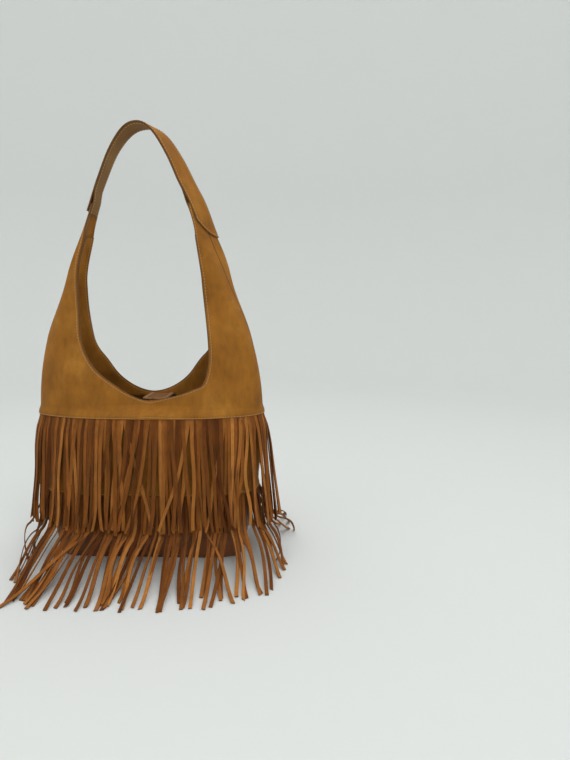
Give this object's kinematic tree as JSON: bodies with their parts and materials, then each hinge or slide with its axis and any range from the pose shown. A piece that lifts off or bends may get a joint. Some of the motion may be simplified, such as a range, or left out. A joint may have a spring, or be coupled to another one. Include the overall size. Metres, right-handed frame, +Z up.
{
  "type": "fringed leather hobo bag",
  "caption": "Tan leather shoulder bag with a scooped opening, a strap sewn over its horns, tiers of cut suede fringe all round and a snap tab over the opening.",
  "frame": {"origin": "middle of the flat base, on the surface the bag stands on", "axes": "+Z up towards the strap, +X along the bag's width to the right seen from the front, the front faces -Y"},
  "size_m": [0.3976, 0.416, 0.6139],
  "materials": {
    "tan_nubuck": "brushed nubuck, matte",
    "brown_suede": "suede, matte",
    "brown_leather": "smooth, satin",
    "grey_brown_suede": "suede, matte",
    "lining_cloth": "satin weave",
    "snap_metal": "nickel-brass, polished"
  },
  "bodies": {
    "bag": {"front_yoke": "tan_nubuck", "front_mid_panel": "tan_nubuck", "front_lower_panel": "brown_leather", "front_facing": "tan_nubuck", "front_lining": "lining_cloth", "front_upper_fringe": "brown_suede", "front_lower_fringe": "brown_suede", "back_yoke": "tan_nubuck", "back_mid_panel": "tan_nubuck", "back_lower_panel": "brown_leather", "back_facing": "tan_nubuck", "back_lining": "lining_cloth", "back_upper_fringe": "brown_suede", "back_lower_fringe": "brown_suede", "base_panel": "brown_leather", "base_lining": "lining_cloth", "strap": "tan_nubuck", "strap_lining": "grey_brown_suede", "catch_tab": "tan_nubuck", "snap_socket": "snap_metal"},
    "tab": {"closure_tab": "tan_nubuck", "snap_stud": "snap_metal"}
  },
  "joints": [
    {"name": "tab_hinge", "type": "hinge", "parent": "bag", "child": "tab", "pos_m": [0.006, 0.04369, 0.2285], "axis": [-1, 0, 0], "range_deg": [0, 78]}
  ]
}
